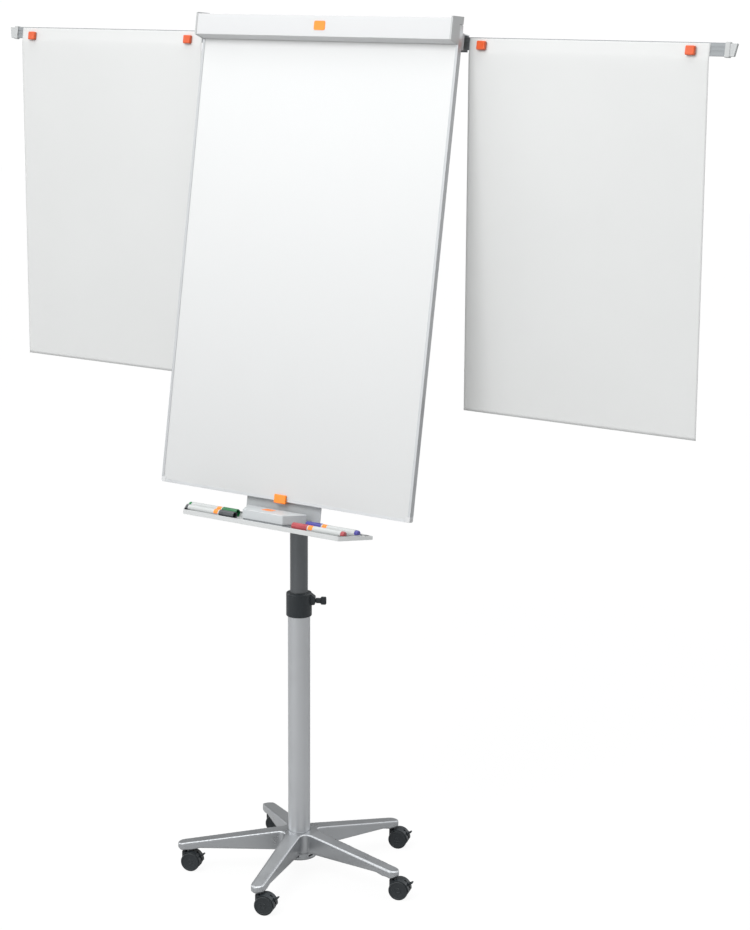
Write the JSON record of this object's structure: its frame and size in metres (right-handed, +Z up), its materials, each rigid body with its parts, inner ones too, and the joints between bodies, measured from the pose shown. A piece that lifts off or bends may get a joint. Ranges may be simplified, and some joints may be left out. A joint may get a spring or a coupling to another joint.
{
  "type": "flipchart easel",
  "caption": "Mobile flipchart easel: star base on castors, telescopic mast, tilting white board with pad clamp, pull-out arms holding hung sheets, and a tray with eraser and markers.",
  "frame": {"origin": "on the floor plane under the mast's axis", "axes": "+Z up along the mast; the board faces -Y; +X to the right of a person looking at the board"},
  "size_m": [1.936, 0.5476, 1.9424],
  "materials": {
    "die_cast": "satin powder-coated die casting",
    "black_steel": "blackened",
    "silver_tube": "silver powder coat",
    "black_plastic": "fine grain",
    "dark_tube": "dark grey powder coat",
    "dark_cast": "dark grey powder coat",
    "bright_steel": "zinc plated",
    "grey_plate": "grey powder coat",
    "frame_aluminium": "anodised",
    "light_plastic": "light grey",
    "white_enamel": "white enamelled steel",
    "board_core": "chip core with a grey backing",
    "orange_plastic": "orange",
    "bar_white": "white powder coat",
    "arm_aluminium": "anodised grey",
    "paper": null,
    "magnet_orange": "orange-red",
    "tray_plastic": "light grey",
    "eraser_grey": "light grey",
    "felt": "grey felt",
    "wheel_black": "hard tread",
    "ink_black": "dark grey cap",
    "ink_green": "green cap",
    "ink_red": "red cap",
    "ink_blue": "blue cap"
  },
  "bodies": {
    "base": {"star_base": "die_cast", "castor_stems": "black_steel", "column_lower": "silver_tube", "guide_bush": "black_plastic", "collar": "black_plastic"},
    "castor_1": {"castor_1_hood": "black_plastic"},
    "wheels_1": {"castor_1_wheels": "wheel_black"},
    "brake_1": {"castor_1_brake": "black_plastic"},
    "castor_2": {"castor_2_hood": "black_plastic"},
    "wheels_2": {"castor_2_wheels": "wheel_black"},
    "brake_2": {"castor_2_brake": "black_plastic"},
    "castor_3": {"castor_3_hood": "black_plastic"},
    "wheels_3": {"castor_3_wheels": "wheel_black"},
    "brake_3": {"castor_3_brake": "black_plastic"},
    "castor_4": {"castor_4_hood": "black_plastic"},
    "wheels_4": {"castor_4_wheels": "wheel_black"},
    "brake_4": {"castor_4_brake": "black_plastic"},
    "castor_5": {"castor_5_hood": "black_plastic"},
    "wheels_5": {"castor_5_wheels": "wheel_black"},
    "brake_5": {"castor_5_brake": "black_plastic"},
    "clamp_lever": {"clamp_lever": "black_plastic"},
    "foot": {"mast_foot": "black_plastic"},
    "mast": {"column_upper": "dark_tube", "head_bracket": "dark_cast"},
    "board": {"board_bracket": "dark_cast", "pivot_pin": "bright_steel", "back_plate": "grey_plate", "frame_sides": "frame_aluminium", "frame_top": "frame_aluminium", "frame_bottom": "frame_aluminium", "corner_caps": "light_plastic", "panel_face": "white_enamel", "panel_core": "board_core", "clamp_rail": "frame_aluminium", "clamp_ends": "light_plastic", "arm_housing": "frame_aluminium", "arm_guides": "black_plastic", "tray": "tray_plastic"},
    "tilt_knob": {"tilt_knob": "black_plastic"},
    "clamp_bar": {"clamp_bar": "bar_white", "badge": "orange_plastic"},
    "peg_left": {"peg_left": "black_plastic"},
    "peg_right": {"peg_right": "black_plastic"},
    "pad_clip": {"pad_clip": "orange_plastic"},
    "arm_left": {"arm_left": "arm_aluminium", "arm_cap_left": "light_plastic", "sheet_left": "paper", "magnets_left": "magnet_orange"},
    "arm_right": {"arm_right": "arm_aluminium", "arm_cap_right": "light_plastic", "sheet_right": "paper", "magnets_right": "magnet_orange"},
    "eraser": {"eraser_body": "eraser_grey", "eraser_felt": "felt", "eraser_label": "orange_plastic"},
    "marker_black": {"marker_black": "ink_black"},
    "marker_green": {"marker_green": "ink_green"},
    "marker_red": {"marker_red": "ink_red"},
    "marker_blue": {"marker_blue": "ink_blue"}
  },
  "joints": [
    {"name": "mast_slide", "type": "slide", "parent": "base", "child": "foot", "axis": [0, 0, 1], "range_m": [-0.15, 0.245]},
    {"name": "mast_turn", "type": "hinge", "parent": "foot", "child": "mast", "pos_m": [0, 0, 0.3], "axis": [0, 0, 1], "continuous": true},
    {"name": "board_tilt", "type": "hinge", "parent": "mast", "child": "board", "pos_m": [0, 0, 0.9], "axis": [-1, 0, 0], "range_deg": [-9.4, 20]},
    {"name": "tilt_knob_turn", "type": "hinge", "parent": "board", "child": "tilt_knob", "pos_m": [0.033, 0, 0.9], "axis": [1, 0, 0], "range_deg": [-180, 180]},
    {"name": "clamp_lever_turn", "type": "hinge", "parent": "base", "child": "clamp_lever", "pos_m": [0.03464, 0.02, 0.645], "axis": [0.866, 0.5, 0], "range_deg": [-90, 90]},
    {"name": "clamp_open", "type": "hinge", "parent": "board", "child": "clamp_bar", "pos_m": [0, 0.11179, 1.93241], "axis": [-1, 0, 0], "range_deg": [0, 85]},
    {"name": "peg_left_slide", "type": "slide", "parent": "board", "child": "peg_left", "axis": [1, 0, 0], "range_m": [-0.15, 0.1]},
    {"name": "peg_right_slide", "type": "slide", "parent": "board", "child": "peg_right", "axis": [1, 0, 0], "range_m": [-0.1, 0.15]},
    {"name": "pad_clip_slide", "type": "slide", "parent": "board", "child": "pad_clip", "axis": [1, 0, 0], "range_m": [-0.3, 0.3]},
    {"name": "arm_left_slide", "type": "slide", "parent": "board", "child": "arm_left", "axis": [1, 0, 0], "range_m": [0, 0.58]},
    {"name": "arm_right_slide", "type": "slide", "parent": "board", "child": "arm_right", "axis": [-1, 0, 0], "range_m": [0, 0.58]},
    {"name": "eraser_lift", "type": "slide", "parent": "board", "child": "eraser", "axis": [0, 0.0785, 0.9969], "range_m": [0, 0.12]},
    {"name": "marker_black_lift", "type": "slide", "parent": "board", "child": "marker_black", "axis": [0, 0.0785, 0.9969], "range_m": [0, 0.12]},
    {"name": "marker_green_lift", "type": "slide", "parent": "board", "child": "marker_green", "axis": [0, 0.0785, 0.9969], "range_m": [0, 0.12]},
    {"name": "marker_red_lift", "type": "slide", "parent": "board", "child": "marker_red", "axis": [0, 0.0785, 0.9969], "range_m": [0, 0.12]},
    {"name": "marker_blue_lift", "type": "slide", "parent": "board", "child": "marker_blue", "axis": [0, 0.0785, 0.9969], "range_m": [0, 0.12]},
    {"name": "castor_1_swivel", "type": "hinge", "parent": "base", "child": "castor_1", "pos_m": [0.26425, -0.00507, 0.035], "axis": [0, 0, 1], "continuous": true},
    {"name": "castor_1_roll", "type": "hinge", "parent": "castor_1", "child": "wheels_1", "pos_m": [0.28023, 0.00074, 0.022], "axis": [-0.342, 0.9397, 0], "continuous": true},
    {"name": "castor_1_brake", "type": "hinge", "parent": "castor_1", "child": "brake_1", "pos_m": [0.2915, 0.00485, 0.029], "axis": [-0.342, 0.9397, 0], "range_deg": [0, 12]},
    {"name": "castor_2_swivel", "type": "hinge", "parent": "base", "child": "castor_2", "pos_m": [0.08648, 0.24975, 0.035], "axis": [0, 0, 1], "continuous": true},
    {"name": "castor_2_roll", "type": "hinge", "parent": "castor_2", "child": "wheels_2", "pos_m": [0.10246, 0.25556, 0.022], "axis": [-0.342, 0.9397, 0], "continuous": true},
    {"name": "castor_2_brake", "type": "hinge", "parent": "castor_2", "child": "brake_2", "pos_m": [0.11374, 0.25967, 0.029], "axis": [-0.342, 0.9397, 0], "range_deg": [0, 12]},
    {"name": "castor_3_swivel", "type": "hinge", "parent": "base", "child": "castor_3", "pos_m": [-0.2108, 0.15943, 0.035], "axis": [0, 0, 1], "continuous": true},
    {"name": "castor_3_roll", "type": "hinge", "parent": "castor_3", "child": "wheels_3", "pos_m": [-0.19483, 0.16524, 0.022], "axis": [-0.342, 0.9397, 0], "continuous": true},
    {"name": "castor_3_brake", "type": "hinge", "parent": "castor_3", "child": "brake_3", "pos_m": [-0.18355, 0.16935, 0.029], "axis": [-0.342, 0.9397, 0], "range_deg": [0, 12]},
    {"name": "castor_4_swivel", "type": "hinge", "parent": "base", "child": "castor_4", "pos_m": [-0.21677, -0.15122, 0.035], "axis": [0, 0, 1], "continuous": true},
    {"name": "castor_4_roll", "type": "hinge", "parent": "castor_4", "child": "wheels_4", "pos_m": [-0.20079, -0.1454, 0.022], "axis": [-0.342, 0.9397, 0], "continuous": true},
    {"name": "castor_4_brake", "type": "hinge", "parent": "castor_4", "child": "brake_4", "pos_m": [-0.18951, -0.1413, 0.029], "axis": [-0.342, 0.9397, 0], "range_deg": [0, 12]},
    {"name": "castor_5_swivel", "type": "hinge", "parent": "base", "child": "castor_5", "pos_m": [0.07683, -0.25289, 0.035], "axis": [0, 0, 1], "continuous": true},
    {"name": "castor_5_roll", "type": "hinge", "parent": "castor_5", "child": "wheels_5", "pos_m": [0.09281, -0.24707, 0.022], "axis": [-0.342, 0.9397, 0], "continuous": true},
    {"name": "castor_5_brake", "type": "hinge", "parent": "castor_5", "child": "brake_5", "pos_m": [0.10408, -0.24297, 0.029], "axis": [-0.342, 0.9397, 0], "range_deg": [0, 12]}
  ]
}
